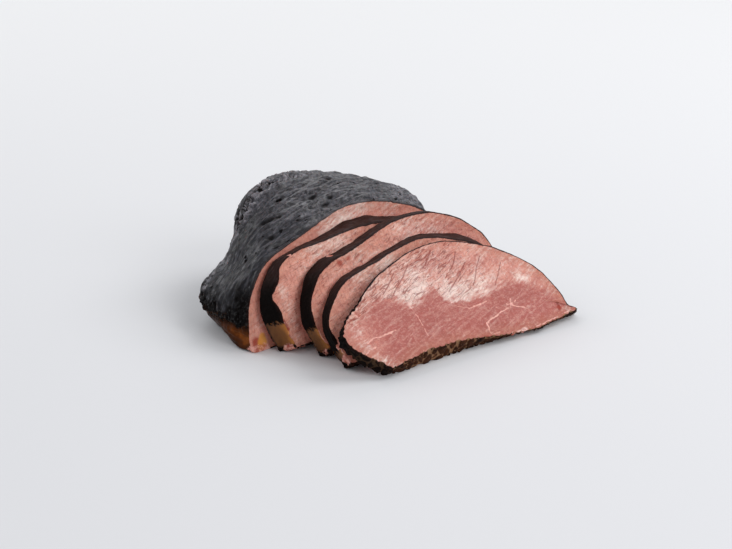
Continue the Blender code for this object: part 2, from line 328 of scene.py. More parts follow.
def evenly(points, count):
    """The same line with count points at even steps along it."""
    steps = np.linalg.norm(np.diff(points, axis=0), axis=1)
    run = np.concatenate([[0.0], np.cumsum(steps)])
    places = np.linspace(0.0, run[-1], count)
    return np.stack([np.interp(places, run, points[:, axis]) for axis in (0, 1)], axis=-1)


def outline(section, columns, wave=0.0):
    """Closed outline of a section as (x, height) pairs, clockwise seen from the cut side.

    A smooth curve runs over eleven landmarks, from the near foot over the crest to the far
    foot, the second of them halfway up to the near side and the last but one on the flap. A
    straight line, or one sine wave of the given height, closes the underside.
    Each point then becomes the mean of its neighbours, which softens the two corners.
    """
    s = section
    fractions = [
        (s.tuck, 0.0), (0.35 * s.tuck, 0.5 * s.side), (0.0, s.side),
        (s.shoulder_in, s.shoulder_up), (BROW_AT, s.brow), (s.crest, 1.0),
        (FAR_BROW_AT, s.far), (FAR_SIDE_AT, s.full), (1.0, FAR_BULGE * s.full),
        (1.0 + 0.2 * s.tip, FLAP_HEIGHT), (1.0 + s.tip, 0.0),
    ]
    landmarks = np.array(fractions) * (s.right - s.left, s.height) + (s.left, 0.0)
    chords = np.linalg.norm(np.diff(landmarks, axis=0), axis=1)
    knots = np.concatenate([[0.0], np.cumsum(chords)])
    over_count = round(OVER_SHARE * columns)
    fine = through(knots, landmarks, np.linspace(0.0, knots[-1], 3 * over_count))
    over = evenly(fine, over_count)
    run = np.linspace(0.0, 1.0, columns - over_count + 2)[1:-1, None]
    under = over[-1] + (over[0] - over[-1]) * run
    under[:, 1] -= wave * np.sin(2.0 * math.pi * run[:, 0])
    ring = np.vstack([over, under])
    shifts = range(-CORNER_REACH, CORNER_REACH + 1)
    return sum(np.roll(ring, shift, axis=0) for shift in shifts) / len(shifts)


def drawn_in(rings, share):
    """Outlines drawn in towards their middles: share 0 is the outline and 1 its middle.

    Height shrinks evenly. Width shrinks at first by as many millimetres as height does, so
    that every side moves in alike, and then by the square of the share.
    """
    low, high = rings.min(axis=1, keepdims=True), rings.max(axis=1, keepdims=True)
    middle, half = 0.5 * (low + high), 0.5 * (high - low)
    ratio = half[:, :, 1] / half[:, :, 0]
    share = np.asarray(share)[:, None]
    across = 1.0 - share * ratio * (1.0 - share) - share ** 2
    scale = np.stack([across, np.broadcast_to(1.0 - share, across.shape)], axis=-1)
    return middle + (rings - middle) * scale


def outward(rings):
    """Unit vectors square to each outline, pointing out: its step turned a quarter left."""
    step = np.roll(rings, -1, axis=1) - np.roll(rings, 1, axis=1)
    turned = np.stack([-step[..., 1], step[..., 0]], axis=-1)
    return turned / np.maximum(np.linalg.norm(turned, axis=-1, keepdims=True), 1e-9)


def smooth_step(values, low, high):
    """0 below low, 1 above high, and 3t² - 2t³ between them."""
    t = np.clip((values - low) / (high - low), 0.0, 1.0)
    return t * t * (3.0 - 2.0 * t)


def waves(places, sizes, seed, count=44):
    """Smooth unevenness of about unit size: a sum of cosines in seeded random directions.

    sizes are the typical distances between crests along each axis.
    """
    places = np.asarray(places, float)
    draws = np.random.default_rng(seed)
    across = places.shape[-1]
    turns = draws.normal(size=(count, across))
    lengths = np.linalg.norm(turns, axis=1, keepdims=True)
    turns *= draws.uniform(*WAVE_SPREAD, (count, 1)) / lengths
    phases = draws.uniform(0.0, 2.0 * math.pi, count)
    steps = 2.0 * math.pi * turns / np.broadcast_to(sizes, (across,))
    flat = places.reshape(-1, across)
    total = np.cos(flat @ steps.T + phases).sum(axis=1) * math.sqrt(2.0 / count)
    return total.reshape(places.shape[:-1])


def pebbles(places, size, seed, table_size=17):
    """Distances to the nearest and second nearest of the seeded points, one in each cell of
    a lattice of the given size, in cell sizes."""
    table = np.random.default_rng(seed).random((table_size,) * 3 + (3,))
    flat = places.reshape(-1, 3)
    cells = np.floor(flat / size).astype(int)
    nearest, second = np.full((2, len(flat)), NOWHERE)
    for step in itertools.product((-1, 0, 1), repeat=3):
        cell = cells + step
        x, y, z = (cell % table_size).T
        gap = np.linalg.norm(flat / size - cell - table[x, y, z], axis=1)
        second = np.minimum(second, np.maximum(nearest, gap))
        nearest = np.minimum(nearest, gap)
    return nearest.reshape(places.shape[:-1]), second.reshape(places.shape[:-1])


def spots(places, table):
    """Sum of round spots, each strength times exp(-(distance / radius)²)."""
    total = np.zeros(places.shape[:-1])
    for *middle, radius, strength in table:
        gap = np.sum((places - middle) ** 2, axis=-1)
        total += strength * np.exp(-gap / radius ** 2)
    return total


def on_face(table, forward):
    """Spots (x, height, radius, strength) as spots on a cut face that lies so far forward."""
    return [(x, height, forward, radius, strength) for x, height, radius, strength in table]


def bell(values, middle, width):
    """exp(-((value - middle) / width)²)."""
    return np.exp(-((values - middle) / width) ** 2)


def from_lines(places, lines):
    """Step from the nearest line to each place, in widths of that line, as three numbers.

    Along each segment the nearest point is its start plus its step times the clamped share
    (place - start)·step / |step|².
    """
    best = np.full(places.shape[:-1] + (3,), NOWHERE)
    length = np.full(places.shape[:-1], NOWHERE)
    for points, width in lines:
        for start, end in zip(np.array(points[:-1]), np.array(points[1:])):
            step = end - start
            share = np.clip((places[..., :2] - start) @ step / (step @ step), 0.0, 1.0)
            gap = (places[..., :2] - start - share[..., None] * step) / width
            reach = np.linalg.norm(gap, axis=-1)
            closer = reach < length
            length = np.where(closer, reach, length)
            best[..., :2] = np.where(closer[..., None], gap, best[..., :2])
    best[..., 2] = 0.0
    return best


def surface_normals(grid):
    """Unit vectors square to a grid of points, from the steps along its rows and columns."""
    around = np.roll(grid, -1, axis=1) - np.roll(grid, 1, axis=1)
    along = np.gradient(grid, axis=0)
    square = np.cross(around, along)
    return square / np.maximum(np.linalg.norm(square, axis=-1, keepdims=True), 1e-9)


# ---------------------------------------------------------------- meshes

def with_ends(rows):
    """A grid's values as one list, with the mean of its first row before and its last after."""
    first, last = (row.mean(axis=0)[None] for row in (rows[0], rows[-1]))
    return np.concatenate([first, rows.reshape((-1,) + rows.shape[2:]), last])


def closed_skin(name, grid, paint):
    """One closed mesh over a grid of points in millimetres, closed by a fan at each end.

    paint holds the values that the material reads: name, and a number or vector per point.
    """
    row_count, columns = grid.shape[:2]
    points = (with_ends(grid) - ORIGIN) * MM
    index = 1 + np.arange(row_count * columns).reshape(row_count, columns)
    beside = np.roll(index, -1, axis=1)
    quads = np.stack([index[:-1], beside[:-1], beside[1:], index[1:]], axis=-1).reshape(-1, 4)
    last = len(points) - 1
    front = np.stack([np.zeros_like(index[0]), beside[0], index[0]], axis=-1)
    rear = np.stack([np.full_like(index[0], last), index[-1], beside[-1]], axis=-1)
    triangles = np.vstack([quads[:, :3], quads[:, [0, 2, 3]], front, rear])
    a, b, c = (points[triangles[:, corner]] for corner in range(3))
    if np.einsum("ij,ij->i", a, np.cross(b, c)).sum() <= 0.0:
        raise RuntimeError(f"{name} is inside out")
    mesh = bpy.data.meshes.new(name)
    mesh.from_pydata(points.tolist(), [], quads.tolist() + front.tolist() + rear.tolist())
    for label, values in paint.items():
        values = with_ends(values)
        kind, field = (("FLOAT", "value") if values.ndim == 1 else ("FLOAT_VECTOR", "vector"))
        layer = mesh.attributes.new(label, kind, "POINT")
        layer.data.foreach_set(field, values.astype(np.float32).ravel())
    mesh.shade_smooth()
    return mesh


def place_piece(node, mesh, material):
    """Shows the mesh in place of its CAD node, on the one body, and checks its box."""
    mesh.materials.append(material)
    piece = bpy.data.objects.new(node + "_meat", mesh)
    bpy.context.scene.collection.objects.link(piece)
    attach(piece, "root")
    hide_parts(node)
    points = np.empty(3 * len(mesh.vertices), np.float32)
    mesh.vertices.foreach_get("co", points)
    points = points.reshape(-1, 3)
    low, high = (np.array(corner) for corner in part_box(node))
    off = max(np.abs(points.min(axis=0) - low).max(), np.abs(points.max(axis=0) - high).max())
    if off > BOX_ALLOWANCE * MM:
        raise RuntimeError(f"{node} is {off / MM:.1f} mm off its CAD box")


# ---------------------------------------------------------------- the carved slices

def resting_places():
    """Where each slice's lower back edge rests: pushed up until it leans on the face behind,
    which it meets at the lower of their two crests, with GAP left clear."""
    places = []
    foot, lean, crest = CUT_FOOT, math.radians(CUT_LEAN), UNCUT[0][1].height
    for cut in SLICES:
        angle = math.radians(cut.lean)
        meets = min(crest, cut.back.height * math.cos(angle))
        rests = foot - meets * (math.tan(angle) - math.tan(lean)) - GAP / math.cos(angle)
        places.append(rests)
        foot = rests - cut.thickness / math.cos(angle)
        crest = cut.front.height * math.cos(angle) + cut.thickness * math.sin(angle)
        lean = angle
    return places


def slice_rows(cut):
    """Per row of a slice: how far it is drawn in, and how far forward it lies.

    From the middle of the front face out to its edge, round a softened corner, down the
    rind, round the other corner, and in to the middle of the back face.
    """
    half = 0.5 * cut.front.height
    turn = np.radians(CORNER_TURNS)
    face = np.linspace(1.0, EDGE_ROUND / half, FACE_ROWS + 1)[1:]
    back = np.linspace(EDGE_ROUND / half, 1.0, BACK_ROWS + 1)[:-1]
    corner = EDGE_ROUND * (1.0 - np.sin(turn))[1:] / half
    rise = EDGE_ROUND * (1.0 - np.cos(turn))[1:]
    wall = np.linspace(cut.thickness - EDGE_ROUND, EDGE_ROUND, WALL_ROWS)
    share = np.concatenate([face, corner, np.zeros(WALL_ROWS), corner[::-1], back])
    forward = np.concatenate([np.full(FACE_ROWS, cut.thickness), cut.thickness - rise, wall,
                              rise[::-1], np.zeros(BACK_ROWS)])
    return share, forward


def make_slice(number, cut, rests, shape, material):
    """A carved slice.

    The outline is drawn in and moved forward row by row. Unevenness moves the rind out and
    in, dying away as exp(-distance in / RIND_FADE), and moves the faces forward and back.
    Then the slice is laid back: y = rest + height·sin(lean) - forward·cos(lean) and
    z = height·cos(lean) + forward·sin(lean).

    The painted values say where the rind, its bare membrane, its dried foot and its torn
    places are, and on the faces the meat's tone, from rosy to tawnier, its dried fibres and
    painted sheen, and how wrinkled, bloody or fat it is. The rind is painted lighter towards
    its top and darker underneath, as painted top light and painted shade. On the last slice the
    paler muscle begins over a wavy line, with a painted sheen strongest just above it.
    """
    share, forward = slice_rows(cut)
    front = outline(cut.front, SLICE_COLUMNS, cut.wave)
    back = outline(cut.back, SLICE_COLUMNS)
    weight = (forward / cut.thickness)[:, None, None]
    rings = back + (front - back) * weight
    flat = drawn_in(rings, share)
    normal = outward(rings)
    # How far each point lies in from the edge: never 0 in the middle, where the rows crowd.
    inward = np.maximum(np.sum((rings - flat) * normal, axis=-1),
                        0.2 * cut.front.height * share[:, None])
    along = np.broadcast_to(forward[:, None], inward.shape)
    place = np.concatenate([flat, along[..., None]], axis=-1)
    rim_place = np.concatenate([rings, along[..., None]], axis=-1)
    outer_x, outer_height = rings[..., 0], rings[..., 1]
    seed = 100 * number

    # The rind: a wandering outline, a crust, and blocks or shreds where the foot dries out,
    # most of all on the last slice.
    last = float(cut is SLICES[-1])
    near, second = pebbles(rim_place * (1.0, 1.0, 0.7) + APART * number, BLOCK_SIZE, seed + 1)
    block = smooth_step(second - near, 0.02, 0.26)
    under = smooth_step(-normal[..., 1], 0.25, 0.85)
    low = smooth_step(outer_height, 17.0, 8.0) * smooth_step(outer_x, 34.0, 22.0)
    foot, head = WINDOWS[cut.name]
    torn_top = 0.7 * waves(rim_place, (2.6, 2.6, 1.8), seed + 8)
    membrane = (smooth_step(outer_height, foot - 0.7, foot + 0.5)
                * smooth_step(outer_height + torn_top, head + 0.8, head - 0.8)
                * smooth_step(outer_x, cut.front.left + 9.0, cut.front.left + 6.0)
                * smooth_step(along, 0.2, 1.0) * smooth_step(inward, 1.2, 0.4))
    lumps = waves(rim_place, (15.0, 15.0, 30.0), seed + 2)
    bumps = waves(rim_place, (5.5, 5.5, 4.0), seed + 3)
    shreds = waves(rim_place, (1.9, 1.9, 1.6), seed + 4)
    swell = shape.rim_roughness / MM * (lumps + 0.35 * bumps + (0.16 + 1.1 * low) * shreds)
    swell = swell * (1.0 - 0.85 * membrane) - 0.35 * membrane
    frayed = last * smooth_step(outer_x, 36.0, 26.0) * (1.0 - under)
    swell += 0.45 * frayed * waves(rim_place, (3.2, 3.2, 5.0), seed + 9)
    blocky = under * (0.3 + 0.7 * last)
    swell += blocky * (1.1 * block - 0.7)
    flat = flat + normal * (swell * np.exp(-inward / RIND_FADE))[..., None]

    # The faces: the knife's slow waves, which fade towards the edge, and two sizes of fibres,
    # each with its share of the height, its size and where it fades.
    knife = shape.knife_wave / MM
    facing = np.where(along > 0.5 * cut.thickness, 1.0, -1.0)
    calm = smooth_step(inward, 0.0, 5.0) * np.where(facing > 0.0, 1.0, 0.5)
    relief = knife * calm * (waves(place, (30.0, 18.0, 50.0), seed + 5) - 0.6)
    for part, sizes, edges, draw in ((0.28, (4.5, 3.0, 9.0), (0.2, 1.5), 6),
                                     (0.15, (1.8, 1.3, 4.0), (0.1, 0.8), 7)):
        relief += part * knife * smooth_step(inward, *edges) * waves(place, sizes, seed + draw)
    ahead = along + facing * relief

    lean = math.radians(cut.lean)
    y = rests + flat[..., 1] * math.sin(lean) - ahead * math.cos(lean)
    z = flat[..., 1] * math.cos(lean) + ahead * math.sin(lean)
    lowest = (outer_height * math.cos(lean) + along * math.sin(lean)).min()
    sole = EDGE_ROUND * (math.cos(lean) + math.sin(lean) - 1.0)
    grid = np.stack([flat[..., 0], y, np.maximum(z - lowest - sole, 0.0)], axis=-1)

    depth = np.where(inward > 0.02, inward, -np.minimum(along, cut.thickness - along))
    depth = depth - spots(place, RIND_REACH[cut.name])
    x = place[..., 0]
    over_line = place[..., 1] - np.interp(x, *PALE_MUSCLE)
    over_line = over_line + 0.7 * waves(place, (7.0, 2.4, 30.0), seed + 10)
    upper = last * smooth_step(over_line, -3.0, 3.4)
    paler = np.maximum(smooth_step(over_line, -3.6, 4.2), 0.7 * smooth_step(x, 38.0, 20.0))
    tawny_and_painted_light = TAWNY[cut.name] * (1.0 - 0.4 * smooth_step(x, 60.0, 115.0))
    # Painted sheen: faint all over the faces and strongest just over the line on the last slice;
    # the listed spots add pale fat and dried fibres as well as painted sheen.
    shine = np.interp(x, *SHINE) * np.exp(-np.maximum(over_line, 0.0) / SHINE_FADE)
    shine = shine * smooth_step(over_line, -4.0, 6.0)
    shine += 0.12 + upper * (0.27 + 0.15 * smooth_step(x, 84.0, 60.0))
    shine += spots(place, on_face(SHEEN_SPOTS[cut.name], cut.thickness))
    paint = {
        "section": (place + (0.0, 0.0, GRAIN_APART * number)) * MM,
        "depth": depth,
        # The rind painted lighter towards its top and darker underneath: painted top light and
        # shade.
        "bloom": smooth_step(outer_height / cut.front.height, 0.55, 0.95) * (1.0 - under),
        "tawny_and_painted_light": tawny_and_painted_light + last * PALE_MUSCLE_TAWNY * paler,
        # On the last slice the foot's blocks fade out towards the near corner, which stays dark
        # as dark crust and painted shade.
        "foot": under * (0.25 + 0.75 * last * smooth_step(outer_x, 28.0, 38.0)),
        "golden": spots(place, GOLDEN[cut.name]),
        "membrane": membrane * (0.8 + 0.9 * (along / cut.thickness) ** 2),
        "torn": spots(place, TORN[cut.name]),
        "blood": spots(place, BLOOD[cut.name]),
        "sheen": np.where(depth > -0.5, shine, 0.0),
        "wrinkled": 0.60 * (1.0 - last) + upper * (0.30 + 0.55 * smooth_step(x, 118.0, 84.0)),
        "crease": np.linalg.norm(from_lines(place, CREASES[cut.name]), axis=-1),
        "gaps": (1.0 - block) * np.minimum(2.0 * blocky, 1.0),
        "fat": from_lines(place, FAT_LINES[cut.name]),
    }
    mesh = closed_skin(cut.name + "_meat", grid, paint)
    place_piece(cut.name, mesh, material)


# ---------------------------------------------------------------- the uncut piece

def uncut_grid():
    """The uncut piece without unevenness: points, places in the section, and depth of edge.

    Sections drawn in over the cut, y = foot + tan(CUT_LEAN)·height; then a loft of sections
    whose lean dies away as the square of the depth left; then rows that turn into the rear
    point, the last section shrinking by the cosine of the turn.
    """
    first, last = UNCUT[0][0], UNCUT[-1][0]
    half = 0.5 * UNCUT[0][1].height
    turn = np.radians(CORNER_TURNS)[1:]
    shares = np.concatenate([np.linspace(1.0, EDGE_ROUND / half, CUT_ROWS + 1)[1:],
                             EDGE_ROUND * (1.0 - np.sin(turn)) / half])
    rise = np.concatenate([np.zeros(CUT_ROWS), EDGE_ROUND * (1.0 - np.cos(turn))])
    depths = np.linspace(first + EDGE_ROUND, last, SKIN_ROWS)
    knots = [row[0] for row in UNCUT]
    sections = through(knots, [row[1] for row in UNCUT], depths)
    cut_ring = outline(UNCUT[0][1], UNCUT_COLUMNS)
    cut_rings = np.broadcast_to(cut_ring, (len(shares),) + cut_ring.shape)
    flat = drawn_in(cut_rings, shares)
    inward = np.sum((cut_rings - flat) * outward(cut_rings), axis=-1)
    skin = np.stack([outline(Section(*sizes), UNCUT_COLUMNS) for sizes in sections])

    angles = np.linspace(math.radians(REAR_TURN), 0.5 * math.pi, REAR_ROWS + 1)[1:-1]
    shrink = (np.cos(angles) / math.cos(math.radians(REAR_TURN)))[:, None, None]
    floor_turn = math.sin(math.radians(REAR_TURN))
    reach = (np.sin(angles) - floor_turn) / (1.0 - floor_turn)
    rear = np.array(REAR_POINT) + (skin[-1] - REAR_POINT) * shrink

    section = np.concatenate([flat, skin, rear])
    depth = np.concatenate([np.full(len(shares), first) + rise, depths,
                            last + (REAR - last) * reach])
    left = np.clip((last - depth) / (last - first), 0.0, 1.0)
    slope = math.tan(math.radians(CUT_LEAN)) * left ** 2
    y = depth[:, None] + slope[:, None] * section[..., 1]
    grid = np.stack([section[..., 0], y, section[..., 1]], axis=-1)
    edge = np.concatenate([inward, first - np.broadcast_to(
        depth[len(shares):, None], (len(depth) - len(shares), UNCUT_COLUMNS))])
    return grid, depth[:, None], edge


def make_uncut(shape, material):
    """The uncut piece.

    Each point of the smooth shape moves along its normal by the sum of: slow lumps;
    wrinkles drawn out round the roast; creases where a wave passes zero; dents; the raised
    ridge that climbs from the near tip, with the groove and the hollow behind it; and, on the
    lobe beyond the ridge, pebbles that rise from their borders. The cut face has the knife's
    slow waves and finer fibres instead.

    The painted values are those of a slice. On the rind the sheen values place painted
    highlights: on the ridge, the pebbles, broken streaks before the ridge, the crest and the
    far edge. The rind is painted lighter higher up, as painted top light, and darker low down
    and beside the cut, as soot and painted shade.
    """
    grid, depth, edge = uncut_grid()
    depth = np.broadcast_to(depth, edge.shape)
    normal = surface_normals(grid)
    x, z = grid[..., 0], grid[..., 2]
    top = smooth_step(z, 2.0, 9.0)
    rind = smooth_step(-edge, 0.0, 3.0)
    girth = grid * (GIRTH_SHARE, 1.0, GIRTH_SHARE)

    # Lumps, wrinkles and creases.
    wrinkle = shape.wrinkle_depth / MM
    crease = waves(girth, 7.5, 11)
    creased = smooth_step(waves(grid, 16.0, 10), -0.2, 0.9)
    relief = 0.7 * waves(grid, (28.0, 24.0, 28.0), 12)
    relief += wrinkle * waves(girth, 4.6, 13)
    relief += 0.5 * wrinkle * waves(girth, 2.4, 14)
    relief += 0.22 * wrinkle * waves(grid * (0.5, 1.0, 0.5), 1.5, 15)
    relief -= 2.2 * wrinkle * creased * bell(crease, 0.0, 0.13)

    # Pebbles on the lobe, and a few on the rear.
    lobe = smooth_step(depth, 51.0, 58.0) * smooth_step(x, 92.0, 66.0)
    lobe = np.maximum(lobe, 0.40 * smooth_step(depth, 58.0, 72.0))
    near, second = pebbles(grid + 0.9 * waves(grid, 7.0, 16)[..., None], PEBBLE_SIZE, 17)
    border = smooth_step(second - near, 0.0, 0.34)
    patchy = smooth_step(waves(grid, 11.0, 20), -1.4, 0.6)
    relief += shape.pebble_depth / MM * lobe * patchy * (1.2 * border - 0.8 - 0.5 * near)

    # The ridge, the groove and hollow behind it, the dents, and the frayed tip and foot.
    flank = smooth_step(x, 72.0, 46.0) * smooth_step(z, 5.0, 13.0)
    ridge = shape.ridge_height / MM * flank
    hollow = smooth_step(z, 43.0, 34.0) * smooth_step(z, 6.0, 16.0)
    behind = smooth_step(depth, 51.0, 59.0) * smooth_step(depth, 82.0, 70.0)
    uneven = 1.0 + 0.5 * smooth_step(z, 34.0, 46.0) * waves(grid, 5.5, 31)
    relief += ridge * (uneven * bell(depth, *RIDGE) - 1.1 * uneven * bell(depth, *GROOVE)
                       - 2.9 * hollow * behind)
    dents = spots(grid * (1.0, DENT_STRETCH, 1.0),
                  [(x0, DENT_STRETCH * y0, z0, DENT_SPREAD * radius, deep)
                   for x0, y0, z0, radius, deep in DENTS])
    relief -= shape.dent_depth / MM * dents
    tip = spots(grid, NEAR_TIP)
    frayed = tip + 0.8 * smooth_step(z, 17.0, 12.0) * smooth_step(z, 7.0, 12.0)
    relief += (0.25 * frayed + 0.3 * tip) * waves(grid, 2.4, 18)
    relief = relief * (1.0 - 0.7 * smooth_step(z, 12.0, 8.0))
    folds = waves(grid, (9.0, 9.0, 2.8), 19) * smooth_step(z, 14.0, 8.0)

    # The rind moves so, the cut face by the knife's waves, and the rim between them a little.
    moved = relief * rind * (0.12 + 0.88 * top) + 0.22 * folds * rind
    knife = shape.knife_wave / MM
    face = smooth_step(edge, 0.0, 4.0)
    moved = moved + knife * face * (0.7 * waves(grid, (26.0, 20.0, 18.0), 21) - 0.5)
    moved += 0.25 * knife * smooth_step(edge, 0.2, 1.2) * waves(grid, (3.0, 3.0, 2.2), 22)
    rim = bell(edge, -1.0, 3.0)
    moved += 0.16 * rim * waves(grid, 7.0, 23)
    moved += 0.06 * rim * waves(grid, 2.4, 24)
    grid = grid + normal * moved[..., None]
    grid[..., 2] = np.maximum(grid[..., 2], 0.0)

    # Bare membrane below a wandering black line; soot and painted shade low down and beside the
    # cut; above them the rind painted lighter, as painted top light; and painted highlights.
    place = np.stack([grid[..., 0], grid[..., 2], depth], axis=-1)
    black = 12.6 + 1.2 * waves(grid, 9.0, 25) + 0.9 * waves(grid, 3.0, 26)
    band = smooth_step(z, black + 1.6, black - 1.6) * smooth_step(x, 26.0, 12.0)
    soot_and_shade = smooth_step(edge, -17.0, -5.0) * smooth_step(z, 38.0, 22.0)
    soot_and_shade_top = 7.0 + 7.0 * smooth_step(x, 75.0, 35.0)
    bloom = smooth_step(z + 2.5 * waves(grid, 6.0, 27), soot_and_shade_top, 1.8 * soot_and_shade_top)
    bloom = bloom * (1.0 - soot_and_shade)
    ridge_width = 1.6 + 1.6 * smooth_step(z, 42.0, 26.0)
    # The painted highlights, kept in the sheen values that the rind reads.
    painted_highlight = 1.7 * flank * smooth_step(waves(girth, 3.2, 28), -1.5, 0.8) * bell(
        depth, RIDGE[0] + HIGHLIGHT_LAG, ridge_width)
    painted_highlight += 2.8 * lobe * patchy * border * smooth_step(waves(grid, 4.0, 29), -1.6, 0.5)
    painted_highlight += 0.9 * (flank * smooth_step(z, 46.0, 32.0) * bell(depth, 46.0, 4.0)
                     * smooth_step(waves(girth, 3.4, 30), 0.2, 1.3))
    painted_highlight += 0.28 * smooth_step(z, 42.0, 57.0)
    painted_highlight += 0.60 * smooth_step(x, 92.0, 112.0) * smooth_step(z, 30.0, 42.0)
    shine = spots(place, on_face(SHEEN_SPOTS["roast_piece"], CUT_FOOT))
    paint = {
        "section": place * MM,
        "depth": edge - spots(grid, RIND_REACH["roast_piece"]),
        "bloom": bloom,
        # The cut face painted lighter and tawnier low down: painted light where the first slice
        # shades it.
        "tawny_and_painted_light": TAWNY["roast_piece"] + 0.32 * smooth_step(z, 32.0, 20.0),
        "foot": np.zeros_like(edge),
        "golden": spots(grid, GOLDEN["roast_piece"]),
        "membrane": band * (np.minimum(spots(grid, UNCUT_MEMBRANE), 1.0)
                            * (0.36 + 0.28 * smooth_step(z, 11.0, 4.0))
                            + spots(grid, UNCUT_GLOW)),
        "torn": spots(grid, TORN["roast_piece"]),
        "blood": spots(grid, BLOOD["roast_piece"]),
        "sheen": np.where(edge > 0.0, shine, painted_highlight),
        "wrinkled": np.full_like(edge, 0.42),
        "crease": np.full_like(edge, NOWHERE),
        # Pebble borders and dents, which the material darkens as painted shade.
        "gaps": 1.35 * lobe * patchy * (1.0 - border) ** 1.8 + np.clip(1.5 * dents, 0.0, 1.0),
        "fat": from_lines(place, FAT_LINES["roast_piece"]),
    }
    mesh = closed_skin("roast_piece_meat", grid, paint)
    place_piece("roast_piece", mesh, material)


# ---------------------------------------------------------------- materials

SLANT = 20.0                # degrees that the muscle's fibres climb to the right on a slice


class Value:
    """A node's output that can be added, subtracted and multiplied."""

    def __init__(self, recipe, socket):
        self.recipe, self.socket = recipe, socket

    def __add__(self, other):
        return self.recipe.maths("ADD", self, other)

    def __radd__(self, other):
        return self.recipe.maths("ADD", other, self)

    def __sub__(self, other):
        return self.recipe.maths("SUBTRACT", self, other)

    def __rsub__(self, other):
        return self.recipe.maths("SUBTRACT", other, self)

    def __mul__(self, other):
        return self.recipe.maths("MULTIPLY", self, other)

    def __rmul__(self, other):
        return self.recipe.maths("MULTIPLY", other, self)


class Recipe:
    """One material's nodes."""

    def __init__(self, name):
        self.material = bpy.data.materials.new(name)
        self.material.use_nodes = True
        self.tree = self.material.node_tree
        self.shader = self.tree.nodes["Principled BSDF"]

    def feed(self, socket, value):
        """Links a value to a socket, or sets the socket's own number or colour."""
        if isinstance(value, Value):
            self.tree.links.new(value.socket, socket)
        else:
            socket.default_value = value

    def node(self, kind, sockets, output=0, **settings):
        """Adds a node, its settings first and then its sockets, and returns its output."""
        added = self.tree.nodes.new(kind)
        for name, setting in settings.items():
            setattr(added, name, setting)
        for key, value in sockets.items():
            self.feed(added.inputs[key], value)
        return Value(self, added.outputs[output])

    def surface(self, sockets):
        """Feeds the shader's sockets."""
        for name, value in sockets.items():
            self.feed(self.shader.inputs[name], value)

    def maths(self, operation, first, second=0.0, clamp=False):
        return self.node("ShaderNodeMath", {0: first, 1: second}, operation=operation,
                         use_clamp=clamp)

    def painted(self, name, output="Fac"):
        """The values painted on the mesh under a name."""
        return self.node("ShaderNodeAttribute", {}, output, attribute_name=name)

    def step(self, value, low, high):
        """0 at low, 1 at high, smooth between them; low may be the larger."""
        return self.node("ShaderNodeMapRange", {"Value": value, "From Min": low,
                                                "From Max": high},
                         interpolation_type="SMOOTHSTEP")

    def stretched(self, places, size, turn=0.0):
        """Coordinates turned about the third axis, in units of a size in millimetres or of
        one size for each turned axis."""
        sizes = tuple(MM * one for one in (size if isinstance(size, tuple) else (size,) * 3))
        return self.node("ShaderNodeMapping", {
            "Vector": places, "Rotation": (0.0, 0.0, math.radians(turn)), "Scale": sizes},
            vector_type="TEXTURE")

    def noise(self, places, size, detail=3.0, roughness=0.55, turn=0.0, output=0):
        """Cloudy noise from 0 to 1 with lumps of the given sizes in millimetres."""
        return self.node("ShaderNodeTexNoise", {
            "Vector": self.stretched(places, size, turn), "Scale": 1.0, "Detail": detail,
            "Roughness": roughness}, output)

    def cells(self, places, size, feature="DISTANCE_TO_EDGE"):
        """Distance to the nearest border, or with F1 to the middle, of scattered cells."""
        return self.node("ShaderNodeTexVoronoi", {
            "Vector": self.stretched(places, size), "Scale": 1.0}, feature=feature)

    def strokes(self, places, size, thin, turn):
        """1 on thin wandering lines, where cloudy noise passes its middle, and 0 off them."""
        cloud = self.noise(places, size, 1.0, 0.5, turn)
        return self.step(self.maths("ABSOLUTE", cloud - 0.5), thin, 0.2 * thin)

    def blend(self, factor, first, second):
        """The first colour where the factor is 0, and the second where it is 1."""
        first, second = (one if isinstance(one, Value) else (*one, 1.0)
                         for one in (first, second))
        return self.node("ShaderNodeMix", {0: factor, 6: first, 7: second}, 2,
                         data_type="RGBA")

    def layered(self, base, *layers):
        """Colours laid over a base in turn, each given as its factor and the colour."""
        for factor, colour in layers:
            base = self.blend(factor, base, colour)
        return base

    def shifted(self, places, by, amount):
        """Coordinates pushed about by a colourful noise, at most amount metres."""
        centred = self.node("ShaderNodeVectorMath", {0: by, 1: (0.5, 0.5, 0.5)},
                            operation="SUBTRACT")
        push = self.node("ShaderNodeVectorMath", {0: centred, 3: 2.0 * amount},
                         operation="SCALE")
        return self.node("ShaderNodeVectorMath", {0: places, 1: push}, operation="ADD")


# How the two materials' rinds differ: their colours where painted lighter, as painted top
# light, and of their bare membrane, thick and thin; the gloss of that lighter rind; the height
# of the wrinkles in metres; and, from 0 to 1, how streaky the rind is, how its soot bubbles,
# and the membrane's gloss.
Rind = namedtuple("Rind", "bloomed film thin_film gloss wrinkle streaks bubbles film_gloss")

# What is the same all over the meat and rind, on the shader's own sockets.
MEAT_SURFACE = {"Specular IOR Level": 0.04, "Coat Roughness": 0.31, "Subsurface Weight": 0.15,
                "Subsurface Radius": (1.0, 0.35, 0.22), "Subsurface Scale": 1.8 * MM}


